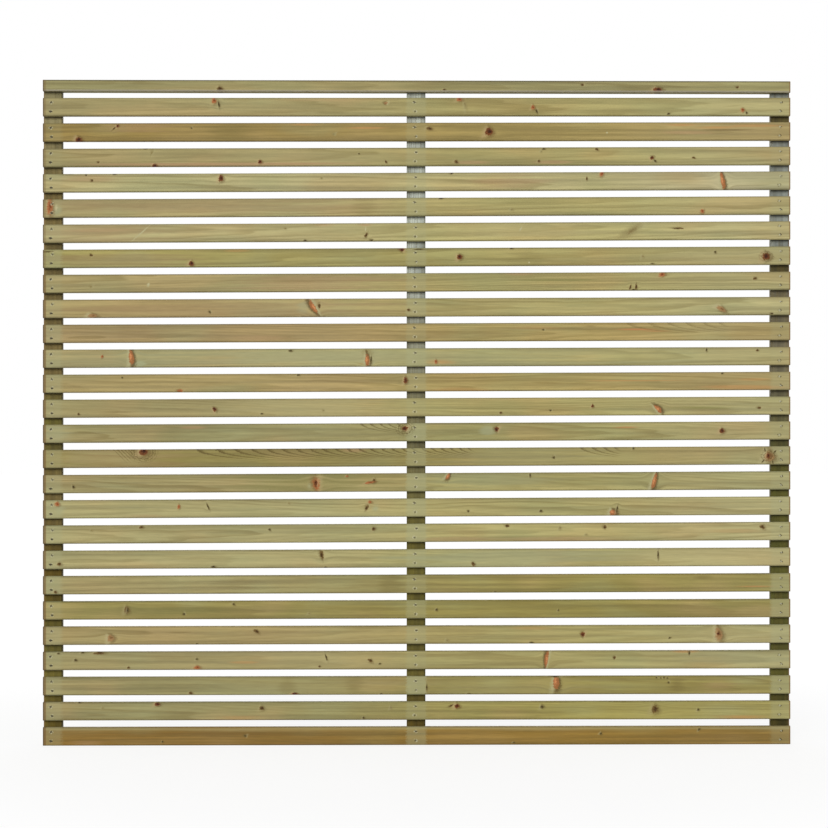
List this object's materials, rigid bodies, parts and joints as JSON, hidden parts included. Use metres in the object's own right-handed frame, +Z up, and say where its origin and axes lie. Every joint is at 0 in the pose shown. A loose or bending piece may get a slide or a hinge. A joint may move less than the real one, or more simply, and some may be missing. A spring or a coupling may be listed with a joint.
{
  "type": "slatted fence panel",
  "caption": "Upright slatted timber fence panel: level planed slats with even gaps, nailed across upright battens under a flat top rail, to be fixed between posts.",
  "frame": {"origin": "on the ground under the middle of the panel", "axes": "+X along the slats, +Y from the slatted face to the battens at the back, +Z up"},
  "size_m": [1.8, 0.045, 1.6],
  "materials": {
    "slat_timber": "planed, pressure treated, unpainted",
    "batten_timber": "sawn and planed, pressure treated",
    "rail_timber": "planed, pressure treated, unpainted",
    "nail_steel": "galvanised"
  },
  "bodies": {
    "root": {"slat_01": "slat_timber", "slat_02": "slat_timber", "slat_03": "slat_timber", "slat_04": "slat_timber", "slat_05": "slat_timber", "slat_06": "slat_timber", "slat_07": "slat_timber", "slat_08": "slat_timber", "slat_09": "slat_timber", "slat_10": "slat_timber", "slat_11": "slat_timber", "slat_12": "slat_timber", "slat_13": "slat_timber", "slat_14": "slat_timber", "slat_15": "slat_timber", "slat_16": "slat_timber", "slat_17": "slat_timber", "slat_18": "slat_timber", "slat_19": "slat_timber", "slat_20": "slat_timber", "slat_21": "slat_timber", "slat_22": "slat_timber", "slat_23": "slat_timber", "slat_24": "slat_timber", "slat_25": "slat_timber", "slat_26": "slat_timber", "batten_left": "batten_timber", "batten_middle": "batten_timber", "batten_right": "batten_timber", "top_rail": "rail_timber", "slat_nails_left": "nail_steel", "slat_nails_middle": "nail_steel", "slat_nails_right": "nail_steel", "rail_nails": "nail_steel"}
  },
  "joints": []
}
